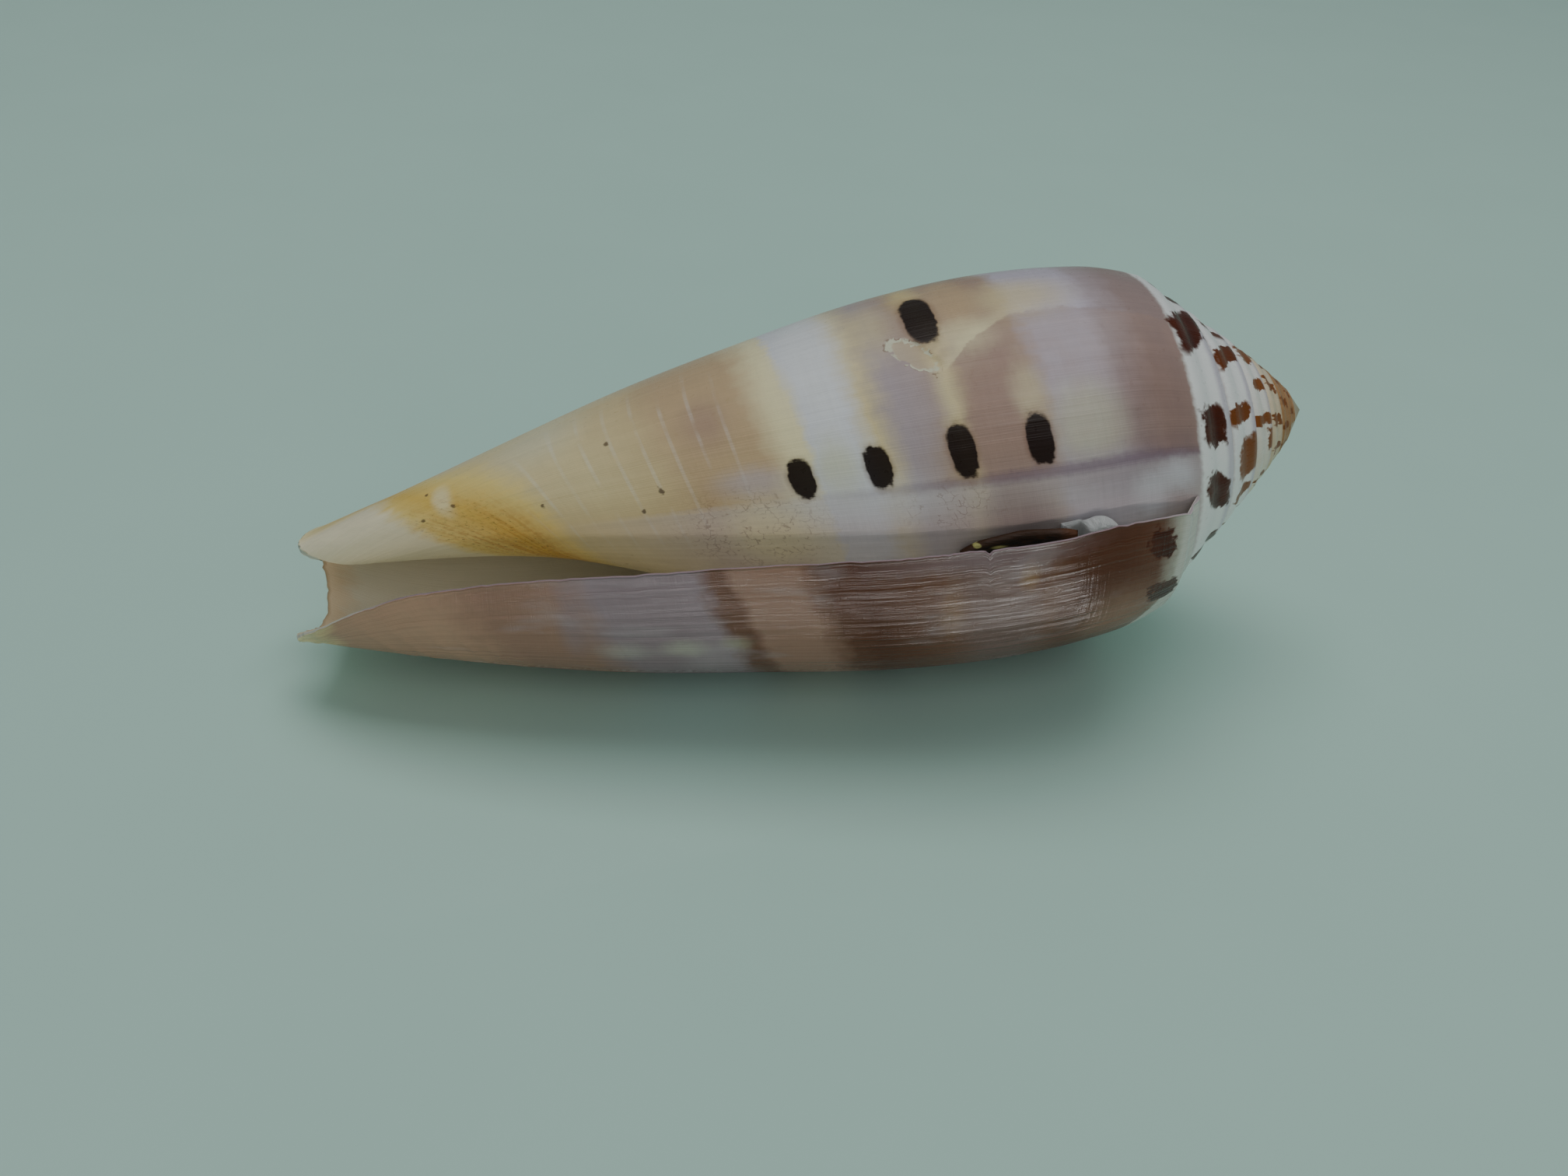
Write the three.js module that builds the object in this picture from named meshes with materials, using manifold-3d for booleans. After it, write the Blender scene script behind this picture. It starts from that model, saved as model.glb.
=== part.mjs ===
// Cone shell lying on its back, with its operculum and a plug of cotton in the aperture.
// Millimetres, +Z up. The spire points to +X, the narrow base to -X, the aperture faces -Y.
//
// The shell is one sheet rolled around an axis. A point of the sheet has a growth angle g
// (0 at the lip edge, negative further back in degrees) and a place s along the profile
// (0 at the shoulder, 1 at the base edge).
import * as THREE from "three";
import Module from "manifold-3d";

// Size and coiling
const LENGTH = 75;                 // apex to base, along the axis
const SHOULDER_DROP = 14.16;       // apex to shoulder at the lip, along the axis
const SHOULDER_RADIUS = 14.24;     // axis to shoulder at the lip
const BODY_GROWTH = { r: 1.212, u: 1.162 };    // growth per turn of the last whorl
const SPIRE_GROWTH = { r: 1.347, u: 1.431 };   // growth per turn of the spire
const BASE_TIGHTENING = 6.56;      // how much faster the radius shrinks at the base
const OVAL = -0.061;               // slight ovality of the section
const OVAL_AT = -52;               // where its long way lies, degrees
const SPIRE_TURNS = 6;             // whole turns above the last whorl

// Radius along the last whorl, as a share of the shoulder radius
const PROFILE = curve(
  [0, 0.04, 0.10, 0.18, 0.32, 0.48, 0.64, 0.80, 0.92, 1.0],
  [1, 1.068, 1.113, 1.134, 1.106, 1.012, 0.909, 0.756, 0.607, 0.49]);
// Lean of the growth lines and of the lip, degrees
const LEAN = curve(
  [0, 0.06, 0.15, 0.35, 0.60, 0.80, 0.88, 0.94, 1.0],
  [-3.25, -1.3, -1.1, 0, 3.4, 4.6, 1.0, -8.5, -28.4]);
// How far the base edge reaches beyond the nominal length, by angle around the axis
const BASE_EDGE = curve(
  [-430, -345, -300, -262, -225, -180, -130, -80, -34],
  [-10.6, -2.8, -0.7, -1.7, -2.7, -1.15, -0.6, 0.3, 0]);
const BASE_NARROW = 0.31;          // radius left where the columella curls in
const CURL_START = [-331, -289];   // angle where the curl starts, at s = 0.6 and at s = 1
const CURL_SPAN = 128;             // degrees it takes

// Wall and cavity
const WALL = 1.4;                  // full wall thickness
const LIP_EDGE = 0.5;              // thickness at the lip edge
const LIP_TAPER = 45;              // degrees from the lip edge to the full thickness
const INNER_WALL = 0.45;           // the inner whorls' walls are thin
const CAVITY = [1140, 300];        // degrees the cavity runs back, near the shoulder and at the base
const SUTURE = 0.012;              // step of the last whorl's suture, share of the profile
const SUTURE_INSIDE = 0.040;       // where the wall's inner side meets the whorl before

// Operculum and cotton
const OPERCULUM_THICKNESS = 0.75;
const GAP = 0.3;                   // clearance between pieces

// How it lies
const PITCH = -8.65;               // tilt of the axis, degrees
const ROLL = 12.7;                 // turn of the lip about the axis, degrees
const WORN_FLAT = 0.45;            // depth of the flat it rests on

// Mesh
const STEP = 12;                   // degrees per column
const PER_TURN = 360 / STEP;
const ROWS = [0, SUTURE, SUTURE_INSIDE, 0.07, 0.11, 0.16, 0.22, 0.29, 0.36, 0.44, 0.52, 0.60,
  0.68, 0.75, 0.81, 0.86, 0.90, 0.935, 0.97, 1];
const RAMP = [0.22, 0.55, 0.8];    // places across the ramp, from the suture to the shoulder
const RAMP_RISE = [0.045, -0.035, 0.01];   // height above the straight line, share of its width

const rad = (d) => (d * Math.PI) / 180;
const clamp = (x, a, b) => Math.min(b, Math.max(a, x));
const ease = (x) => { const t = clamp(x, 0, 1); return t * t * (3 - 2 * t); };

// A smooth curve through a few points
function curve(xs, ys) {
  const n = xs.length;
  const h = [], d = [];
  for (let i = 0; i < n - 1; i++) {
    h.push(xs[i + 1] - xs[i]);
    d.push((ys[i + 1] - ys[i]) / h[i]);
  }
  const m = [((2 * h[0] + h[1]) * d[0] - h[0] * d[1]) / (h[0] + h[1])];
  for (let i = 1; i < n - 1; i++) m.push((d[i - 1] * h[i] + d[i] * h[i - 1]) / (h[i - 1] + h[i]));
  m.push(((2 * h[n - 2] + h[n - 3]) * d[n - 2] - h[n - 2] * d[n - 3]) / (h[n - 2] + h[n - 3]));
  return (x) => {
    const t = Math.min(xs[n - 1], Math.max(xs[0], x));
    let i = 0;
    while (i < n - 2 && t > xs[i + 1]) i++;
    const k = (t - xs[i]) / h[i], j = 1 - k;
    return ys[i] * (1 + 2 * k) * j * j + ys[i + 1] * k * k * (3 - 2 * k)
      + h[i] * (m[i] * k * j * j - m[i + 1] * k * k * j);
  };
}

// Size left after going back some turns: slow over the last whorl, faster up the spire
function shrink(turns, key) {
  const x = turns - 0.5;
  const blend = x <= 0 ? 0 : x < 1 ? x ** 3 - x ** 4 / 2 : x - 0.5;
  const body = Math.log(BODY_GROWTH[key]), spire = Math.log(SPIRE_GROWTH[key]);
  return Math.exp(-(body * turns + (spire - body) * blend));
}

// Axial distance of the shoulder and of the base edge at angle t
const shoulderAt = (t) => SHOULDER_DROP * shrink(-t / 360, "u");
const baseAt = (t) => LENGTH + BASE_EDGE(t);

// A point of the outer face: angle t, distance u from the apex along the axis, radius r
function sheet(t, s) {
  const u = shoulderAt(t) + (baseAt(t) - shoulderAt(t)) * s;
  let r = SHOULDER_RADIUS * PROFILE(s) * shrink(-t / 360, "r") ** (1 + (BASE_TIGHTENING - 1) * s ** 3);
  r *= 1 + OVAL * Math.cos(rad(2 * (t - OVAL_AT)));
  const start = CURL_START[0] + ((CURL_START[1] - CURL_START[0]) * (s - 0.6)) / 0.4;
  r *= 1 - ease((start - t) / CURL_SPAN) * ease((s - 0.55) / 0.3) * (1 - BASE_NARROW);
  return { t, u, r };
}
const outer = (g, s) => sheet(g + LEAN(s), s);

// Wall thickness, kept under half the room to the whorl before
function thickness(g, s) {
  const deep = ease((-g - 290) / 110);
  const full = (WALL * (1 - 0.4 * ease((s - 0.75) / 0.25))) * (1 - deep) + INNER_WALL * deep;
  const edge = LIP_EDGE * (1 - 0.2 * ease((s - 0.85) / 0.15));
  const t = edge + (full - edge) * ease(-g / LIP_TAPER);
  return Math.min(t, 0.5 * (outer(g, s).r - outer(g - 360, s).r));
}

// Inner face: the outer face moved inward, and towards the base near the shoulder
function inner(g, s) {
  const p = outer(g, s), t = thickness(g, s);
  const slope = rad(40) * (1 - ease(s / 0.1));
  return { t: p.t, u: p.u + t * Math.sin(slope), r: p.r - t * Math.cos(slope) };
}

// Radii of the aperture's two walls at angle t and axial distance u
function apertureAt(t, u) {
  const at = (a) => (u - shoulderAt(a)) / (baseAt(a) - shoulderAt(a));
  const s = at(t);
  return [sheet(t - 360, at(t - 360)).r, sheet(t, s).r - thickness(t - LEAN(s), s)];
}

// The part of the profile left showing on older whorls shrinks with the whorl
const shownRow = (k, i) => (k > PER_TURN && i <= 2
  ? ROWS[i] * shrink(k / PER_TURN, "u") / shrink(1, "u") : ROWS[i]);

// Axis frame in the resting pose
const pitch = rad(PITCH), roll = rad(ROLL);
const axis = new THREE.Vector3(-Math.cos(pitch), 0, Math.sin(pitch));
const side = new THREE.Vector3(0, -1, 0);
const across = new THREE.Vector3().crossVectors(axis, side);
const e2 = side.clone().multiplyScalar(Math.cos(roll)).addScaledVector(across, Math.sin(roll));
const e3 = new THREE.Vector3().crossVectors(axis, e2);
function place(p) {
  return new THREE.Vector3()
    .addScaledVector(axis, p.u)
    .addScaledVector(e2, p.r * Math.cos(rad(p.t)))
    .addScaledVector(e3, p.r * Math.sin(rad(p.t)));
}

// A list of corners and triangles; the calls name corners clockwise as seen from outside
class Skin {
  constructor() { this.points = []; this.faces = []; }
  add(v) { this.points.push(v); return this.points.length - 1; }
  tri(a, b, c) { if (a !== b && b !== c && c !== a) this.faces.push([a, c, b]); }
  quad(a, b, c, d) { this.tri(a, b, c); this.tri(a, c, d); }
  strip(left, right) {
    for (let i = 0; i < left.length - 1; i++) this.quad(left[i], right[i], right[i + 1], left[i + 1]);
  }
  geometry() {
    const g = new THREE.BufferGeometry();
    g.setAttribute("position", new THREE.Float32BufferAttribute(
      this.points.flatMap((v) => [v.x, v.y, v.z]), 3));
    g.setIndex(this.faces.flat());
    g.computeVertexNormals();
    return g;
  }
}

function shellSkin() {
  const skin = new Skin();
  const last = ROWS.length - 1;
  const cols = PER_TURN * (SPIRE_TURNS + 1);     // columns of the whole sheet
  // Columns with a cavity behind them, between row i and the next
  const depth = ROWS.map((s) => Math.round(
    (CAVITY[0] + (CAVITY[1] - CAVITY[0]) * ease((s - 0.4) / 0.35)) / STEP));
  const deepest = depth[0], shallow = depth[last - 1];
  const O = [], I = [], R = [], IR = [];
  for (let k = 0; k <= cols; k++) {
    O.push(ROWS.map((s, i) => (i <= 1 || k <= PER_TURN + depth[i - 1]
      ? skin.add(place(outer(-k * STEP, shownRow(k, i)))) : -1)));
  }
  // Ramp between the suture and the shoulder
  const between = (a, b, v, rise) => {
    const du = b.u - a.u, dr = b.r - a.r;
    return { t: a.t + (b.t - a.t) * v, u: a.u + du * v - dr * rise, r: a.r + dr * v + du * rise };
  };
  const seamPoint = (k, i) => {
    const p = outer(-(k + PER_TURN) * STEP, shownRow(k + PER_TURN, i));
    return { ...p, t: p.t + 360 };
  };
  for (let k = 0; k <= cols - PER_TURN; k++) {
    const a = seamPoint(k, 1), b = outer(-k * STEP, 0);
    R.push(RAMP.map((v, j) => skin.add(place(between(a, b, v, RAMP_RISE[j])))));
  }
  for (let k = 0; k <= deepest; k++) {
    const a = seamPoint(k, 2), b = inner(-k * STEP, 0);
    IR.push(RAMP.map((v) => skin.add(place(between(a, b, v, 0)))));
    I.push(ROWS.map((s, i) => (k <= depth[Math.max(i - 1, 0)]
      ? skin.add(place(inner(-k * STEP, s))) : -1)));
  }
  const outside = (k) => [O[k + PER_TURN][1], ...R[k], ...O[k]];
  const inside = (k) => [O[k + PER_TURN][2], ...IR[k], ...I[k]];
  const head = RAMP.length + 1;

  // Outer face of the last whorl, the steps of the spire and all the ramps
  for (let k = 0; k < cols; k++) {
    const rows = k < PER_TURN ? last + 1 : 2;
    skin.strip(O[k].slice(0, rows), O[k + 1].slice(0, rows));
    if (k < cols - PER_TURN) skin.strip(outside(k).slice(0, head + 1), outside(k + 1).slice(0, head + 1));
  }
  // Inner face, and the wall of the whorl before that it faces
  for (let k = 0; k < deepest; k++) {
    const a = inside(k), b = inside(k + 1);
    for (let j = 0; j < head + last; j++) {
      if (k < depth[Math.max(j - head, 0)]) skin.quad(b[j], a[j], a[j + 1], b[j + 1]);
    }
    const c = O[k + PER_TURN], d = O[k + PER_TURN + 1];
    for (let i = 2; i < last; i++) {
      if (k < depth[i]) skin.quad(c[i], d[i], d[i + 1], c[i + 1]);
    }
  }
  // Base edge and lip edge
  for (let k = 0; k < shallow; k++) skin.quad(O[k][last], O[k + 1][last], I[k + 1][last], I[k][last]);
  skin.strip(inside(0), outside(0));
  // Back of the cavity, stepping forward towards the base
  const back = inside(deepest), wall = O[PER_TURN + deepest][2];
  for (let j = 0; j < head + 2; j++) skin.tri(wall, back[j], back[j + 1]);
  const path = [];
  for (let i = 2; i < last; i++) {
    for (let k = depth[i - 1]; k > depth[i]; k--) path.push([k, i]);
    path.push([depth[i], i]);
  }
  path.push([shallow, last]);
  skin.strip(path.map(([k, i]) => O[k + PER_TURN][i]), path.map(([k, i]) => I[k][i]));
  // Underside of the solid core
  const rim = [];
  for (let k = shallow; k <= PER_TURN + shallow; k++) rim.push(O[k][last]);
  rim.push(I[shallow][last]);
  const mid = skin.add(place({ t: 0, r: 0, u: LENGTH - 12 }));
  rim.forEach((a, i) => skin.tri(a, rim[(i + 1) % rim.length], mid));
  // Apex
  const apex = skin.add(place({ t: 0, r: 0, u: 0.15 }));
  for (let k = cols - PER_TURN; k < cols; k++) skin.tri(apex, O[k + 1][0], O[k][0]);
  const seam = [O[cols][1], ...R[cols - PER_TURN], O[cols - PER_TURN][0]];
  skin.tri(apex, O[cols - PER_TURN][0], O[cols][0]);
  for (let i = 0; i < seam.length - 1; i++) skin.tri(O[cols][0], seam[i + 1], seam[i]);
  return skin;
}

// A closed pad given by its two faces over a grid, its rim drawn to an edge
function padSkin(us, nt, edges, layers) {
  const skin = new Skin();
  const grid = us.map((u, i) => Array.from({ length: nt + 1 }, (_, j) => {
    const [t0, t1] = edges(u), t = t0 + (t1 - t0) * (j / nt);
    const [low, high] = layers(u, t), middle = (low + high) / 2;
    const rim = i === 0 || i === us.length - 1 || j === 0 || j === nt;
    if (rim) return Array(2).fill(skin.add(place({ t, u, r: middle })));
    return [low, high].map((r) => skin.add(place({ t, u, r })));
  }));
  for (let i = 0; i < us.length - 1; i++) {
    for (let j = 0; j < nt; j++) {
      const [a, b, c, d] = [grid[i][j], grid[i + 1][j], grid[i + 1][j + 1], grid[i][j + 1]];
      skin.quad(a[0], b[0], c[0], d[0]);
      skin.quad(d[1], c[1], b[1], a[1]);
    }
  }
  return skin;
}

// Thin horny plate lying on the wall of the whorl before, lifted at its end by the cotton
const OPERCULUM_LIFT = 0.75;
function operculumSkin() {
  const edge = curve([22.0, 24.3, 27, 28.8, 29.7], [-3.6, -2.7, -3.0, -3.6, -6.2]);
  const us = [22.0, 22.12, 22.6, 23.4, 24.2, 25, 26, 27, 28, 28.8, 29.3, 29.58, 29.7];
  return padSkin(us, 9, (u) => [edge(u), -21], (u, t) => {
    const [wall, lip] = apertureAt(t, u);
    const low = wall + GAP + OPERCULUM_LIFT * ease((26 - u) / 3);
    return [low, Math.min(low + OPERCULUM_THICKNESS, lip - GAP)];
  });
}

// Cotton filling the upper end of the aperture, with a tongue under the operculum
function cottonSkin() {
  const edge = curve([18.4, 18.9, 19.6, 20.3, 21.2, 22.9], [-9, -5.6, -2.2, -1.2, -2.2, -3.3]);
  const us = [18.4, 18.5, 18.8, 19.2, 19.7, 20.2, 20.7, 21.1, 21.35, 21.6, 22.1, 22.6, 22.85, 22.9];
  return padSkin(us, 12, (u) => [edge(u), -40], (u, t) => {
    const [wall, lip] = apertureAt(t, u);
    const low = wall + GAP, thin = low + OPERCULUM_LIFT - GAP;
    const full = Math.min(lip - GAP, low + 1.9);
    return [low, full + (thin - full) * ease((u - 21.3) / 0.3)];
  });
}

const shell = shellSkin(), operculum = operculumSkin(), cotton = cottonSkin();

// Set it down, centred over the origin, with its lowest side worn to a small flat
const low = Math.min(...shell.points.map((p) => p.z)) + WORN_FLAT;
const box = new THREE.Box3().setFromPoints(shell.points);
const shift = new THREE.Vector3(-(box.min.x + box.max.x) / 2, -(box.min.y + box.max.y) / 2, -low);
for (const p of [...shell.points, ...operculum.points, ...cotton.points]) p.add(shift);

const wasm = await Module();
wasm.setup();
function wornFlat(geometry) {
  const whole = new wasm.Manifold(new wasm.Mesh({
    numProp: 3,
    vertProperties: geometry.getAttribute("position").array,
    triVerts: Uint32Array.from(geometry.index.array),
  }));
  const cut = whole.trimByPlane([0, 0, 1], 0).getMesh();
  const worn = new THREE.BufferGeometry();
  worn.setAttribute("position", new THREE.Float32BufferAttribute(cut.vertProperties, 3));
  worn.setIndex([...cut.triVerts]);
  worn.computeVertexNormals();
  return worn;
}

const group = new THREE.Group();
group.name = "cone_shell";
function addMesh(name, geometry, colour, roughness) {
  const material = new THREE.MeshStandardMaterial({ color: colour, roughness, metalness: 0 });
  const mesh = new THREE.Mesh(geometry, material);
  mesh.name = name;
  group.add(mesh);
}
addMesh("shell", wornFlat(shell.geometry()), 0x9c7763, 0.35);
addMesh("operculum", operculum.geometry(), 0x3a2416, 0.4);
addMesh("cotton_plug", cotton.geometry(), 0xe4e8e2, 0.95);

export default group;
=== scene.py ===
"""Looks of the cone shell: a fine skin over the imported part, its operculum and its cotton plug."""
import bpy
import numpy as np
from mathutils import Matrix, Vector


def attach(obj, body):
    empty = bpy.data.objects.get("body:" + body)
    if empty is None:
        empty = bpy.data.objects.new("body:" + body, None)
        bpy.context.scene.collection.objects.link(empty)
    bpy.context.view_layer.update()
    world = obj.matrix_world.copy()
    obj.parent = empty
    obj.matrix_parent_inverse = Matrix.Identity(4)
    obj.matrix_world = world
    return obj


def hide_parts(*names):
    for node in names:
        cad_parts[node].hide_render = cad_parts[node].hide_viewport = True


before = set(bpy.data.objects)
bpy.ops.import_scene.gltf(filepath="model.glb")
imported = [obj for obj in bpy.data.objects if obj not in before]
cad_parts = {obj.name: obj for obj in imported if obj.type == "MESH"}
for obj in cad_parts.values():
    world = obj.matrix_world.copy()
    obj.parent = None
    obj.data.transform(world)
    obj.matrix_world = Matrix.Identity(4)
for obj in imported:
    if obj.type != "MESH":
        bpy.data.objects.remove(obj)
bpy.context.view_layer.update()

# The shell is a sheet rolled round an axis. t is the angle round the axis, u the distance along it
# from the apex and r the distance from it. s runs down a whorl's side, from 0 at the shoulder to 1 at
# the base, and v across its ramp, from 0 at the suture to 1 at the shoulder. g is the growth angle,
# 0 at the lip and negative before it: what grew at one time has one g, and t is g plus a lean.
# Lengths are in millimetres and angles in degrees, and these values are those of the part's CAD.
LENGTH = 75
SHOULDER_DROP = 14.16                        # from the apex along the axis to the last shoulder
SHOULDER_RADIUS = 14.24
BODY_GROWTH = {"r": 1.212, "u": 1.162}       # from each whorl to the next
SPIRE_GROWTH = {"r": 1.347, "u": 1.431}
BASE_TIGHTENING = 6.56                       # how much faster the base winds in than the shoulder
OVAL, OVAL_AT = -0.061, -52                  # share by which whorls are oval, and at what angle
SPIRE_TURNS = 6
CURL_START, CURL_SPAN = (-331, -289), 128    # columella's curl: starts at CURL_FROM and at the base
CURL_FROM = 0.6
CURL_FADE_FROM, CURL_FADE_SPAN = 0.55, 0.3
BASE_NARROW = 0.31                           # share of the radius left once it has curled in
WALL, INNER_WALL = 1.4, 0.45
INNER_FROM, INNER_SPAN = 290, 110            # how far back the wall starts to thin, and over what
LIP_EDGE, LIP_TAPER, LIP_ROUNDING = 0.5, 45, 9
INNER_SLOPE, INNER_SLOPE_TO = 40, 0.1        # how the wall is measured near the shoulder
SUTURE, SUTURE_INSIDE = 0.012, 0.040         # where a ramp starts on the whorl before, as its s
CAVITY = 300                                 # degrees that the aperture runs back
PITCH, ROLL = -8.65, 12.7
SHIFT = np.array([37.04195, 0.75857, 19.40407])     # from the axis frame to the part's frame
MM = 0.001


def curve(xs, ys):
    """A smooth curve through a few points."""
    xs, ys = np.array(xs, float), np.array(ys, float)
    h = np.diff(xs)
    d = np.diff(ys) / h
    m = np.empty(len(xs))
    m[0] = ((2 * h[0] + h[1]) * d[0] - h[0] * d[1]) / (h[0] + h[1])
    m[1:-1] = (d[:-1] * h[1:] + d[1:] * h[:-1]) / (h[1:] + h[:-1])
    m[-1] = ((2 * h[-1] + h[-2]) * d[-1] - h[-1] * d[-2]) / (h[-1] + h[-2])

    def at(x):
        t = np.clip(x, xs[0], xs[-1])
        i = np.clip(np.searchsorted(xs, t) - 1, 0, len(xs) - 2)
        k = (t - xs[i]) / h[i]
        j = 1 - k
        return (ys[i] * (1 + 2 * k) * j * j + ys[i + 1] * k * k * (3 - 2 * k)
                + h[i] * (m[i] * k * j * j - m[i + 1] * k * k * j))
    return at


PROFILE = curve(
    [0, 0.04, 0.10, 0.18, 0.32, 0.48, 0.64, 0.80, 0.92, 1.0],
    [1, 1.068, 1.113, 1.134, 1.106, 1.012, 0.909, 0.756, 0.607, 0.49])
LEAN = curve(
    [0, 0.06, 0.15, 0.35, 0.60, 0.80, 0.88, 0.94, 1.0],
    [-3.25, -1.3, -1.1, 0, 3.4, 4.6, 1.0, -8.5, -28.4])
BASE_EDGE = curve(
    [-430, -345, -300, -262, -225, -180, -130, -80, -34],
    [-10.6, -2.8, -0.7, -1.7, -2.7, -1.15, -0.6, 0.3, 0])
RAMP_RISE = curve([0, 0.22, 0.55, 0.8, 1], [0, 0.045, -0.035, 0.01, 0])


def ease(x):
    """0 up to 0, 1 from 1 on, smooth between."""
    t = np.clip(x, 0, 1)
    return t * t * (3 - 2 * t)


def shrink(turns, key):
    """Size of a whorl so many turns back: the spire's growth takes over between 0.5 and 1.5."""
    x = turns - 0.5
    blend = np.where(x <= 0, 0, np.where(x < 1, x ** 3 - x ** 4 / 2, x - 0.5))
    body, spire = np.log(BODY_GROWTH[key]), np.log(SPIRE_GROWTH[key])
    return np.exp(-(body * turns + (spire - body) * blend))


def shoulder_at(t):
    return SHOULDER_DROP * shrink(-t / 360, "u")


def base_at(t):
    return LENGTH + BASE_EDGE(t)


def sheet(t, s):
    """Axial distance and radius of the rolled sheet at angle t and place s of its profile."""
    u = shoulder_at(t) + (base_at(t) - shoulder_at(t)) * s
    r = SHOULDER_RADIUS * PROFILE(s) * shrink(-t / 360, "r") ** (1 + (BASE_TIGHTENING - 1) * s ** 3)
    r = r * (1 + OVAL * np.cos(np.radians(2 * (t - OVAL_AT))))
    start = CURL_START[0] + (CURL_START[1] - CURL_START[0]) * (s - CURL_FROM) / (1 - CURL_FROM)
    curl = ease((start - t) / CURL_SPAN) * ease((s - CURL_FADE_FROM) / CURL_FADE_SPAN)
    return t, u, r * (1 - curl * (1 - BASE_NARROW))


def outer(g, s):
    """The outer face, with leaning growth lines."""
    return sheet(g + LEAN(s), s)


def thickness(g, s):
    """Of the wall: less deep inside, towards the lip and towards the base."""
    deep = ease((-g - INNER_FROM) / INNER_SPAN)
    full = WALL * (1 - 0.4 * ease((s - 0.75) / 0.25)) * (1 - deep) + INNER_WALL * deep
    edge = LIP_EDGE * (1 - 0.2 * ease((s - 0.85) / 0.15)) * (0.5 + 0.5 * ease(-g / LIP_ROUNDING))
    wall = edge + (full - edge) * ease(-g / LIP_TAPER)
    return np.minimum(wall, 0.5 * (outer(g, s)[2] - outer(g - 360, s)[2]))


def inner(g, s):
    """The inner face."""
    t, u, r = outer(g, s)
    d = thickness(g, s)
    slope = np.radians(INNER_SLOPE) * (1 - ease(s / INNER_SLOPE_TO))
    return t, u + d * np.sin(slope), r - d * np.cos(slope)


def aperture_at(t, u):
    """Radii of the aperture's two walls at angle t and axial distance u."""
    def at(a):
        return (u - shoulder_at(a)) / (base_at(a) - shoulder_at(a))
    s = at(t)
    return sheet(t - 360, at(t - 360))[2], sheet(t, s)[2] - thickness(t - LEAN(s), s)


pitch, roll = np.radians(PITCH), np.radians(ROLL)
AXIS = np.array([-np.cos(pitch), 0, np.sin(pitch)])
SIDE = np.array([0, -1, 0])
ACROSS = np.cross(AXIS, SIDE)
E2 = SIDE * np.cos(roll) + ACROSS * np.sin(roll)
E3 = np.cross(AXIS, E2)


def place(p):
    """Points in the part's frame, from their t, u and r."""
    t, u, r = np.broadcast_arrays(*p)
    t = np.radians(t)
    return (AXIS * u[..., None] + E2 * (r * np.cos(t))[..., None]
            + E3 * (r * np.sin(t))[..., None] + SHIFT)


def hashed(i, j, seed):
    """A number from 0 to 1 for each point of a lattice."""
    n = (i.astype(np.int64) * 73856093) ^ (j.astype(np.int64) * 19349663) ^ (seed * 83492791)
    n = (n ^ (n >> 13)) * 1274126177
    return ((n ^ (n >> 16)) & 0xFFFF) / 65535.0


def noise(x, y, seed):
    """Smooth value noise from -1 to 1."""
    x, y = np.broadcast_arrays(np.asarray(x, float), np.asarray(y, float))
    i, j = np.floor(x), np.floor(y)
    a, b = x - i, y - j
    a, b = a * a * (3 - 2 * a), b * b * (3 - 2 * b)
    return ((hashed(i, j, seed) * (1 - a) + hashed(i + 1, j, seed) * a) * (1 - b)
            + (hashed(i, j + 1, seed) * (1 - a) + hashed(i + 1, j + 1, seed) * a) * b) * 2 - 1


def bell(x, width):
    """1 at 0, falling to nothing on both sides."""
    return np.exp(-(x / width) ** 2)


# How far the lip is worn back, in degrees, and the base edge, as a share of s
LIP_WORN = curve([0, 0.1, 0.16, 0.25, 0.45, 0.6, 0.72, 0.9, 0.97, 1.0],
                 [0.5, 0.55, 1.2, 0.8, 0.5, 0.7, 1.1, 1.0, 1.6, 3.5])
BASE_WORN = curve([-300, -125, -100, -80, -55, -38, -22, -8, 0],
                  [0, 0, 0.004, 0.010, 0.011, 0.004, -0.004, -0.005, 0.004])
WEAR_REACH = 26                              # degrees over which the skin is drawn back with the lip
NICK_AT, NICK_WIDTH, NICK_DEPTH = 0.2335, 0.0028, 0.9


def worn(g, s):
    """Where the point g, s of the plain sheet lies once the edges are worn, chipped and ragged."""
    g, s = np.broadcast_arrays(np.asarray(g, float), np.asarray(s, float))
    chips = 0.22 * noise(s * 90, 0, 11) + 0.12 * noise(s * 260, 0, 12)
    nick = NICK_DEPTH * bell(s - NICK_AT, NICK_WIDTH)
    torn = 0.9 * np.maximum(noise(s * 150, 0, 13), 0) * ease((s - 0.93) / 0.05)
    back = (LIP_WORN(s) + chips + nick + torn) * ease((g + WEAR_REACH) / WEAR_REACH)
    ragged = 0.0012 * noise(g / 2.2, 0, 14) + 0.0008 * noise(g / 0.8, 0, 15)
    cut = (BASE_WORN(g) + ragged * ease((g + 330) / 60)) * ease((s - 0.90) / 0.10)
    return g - back, s - cut


def in_rows(start, *stretches):
    """Places along a line from its start, each stretch given by its end and its number of steps."""
    out, at = [np.array([start])], start
    for end, n in stretches:
        out.append(np.linspace(at, end, n + 1)[1:])
        at = end
    return np.concatenate(out)


SAME_PLACE, SAME_VALUE = 0.00005, 0.001


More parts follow.
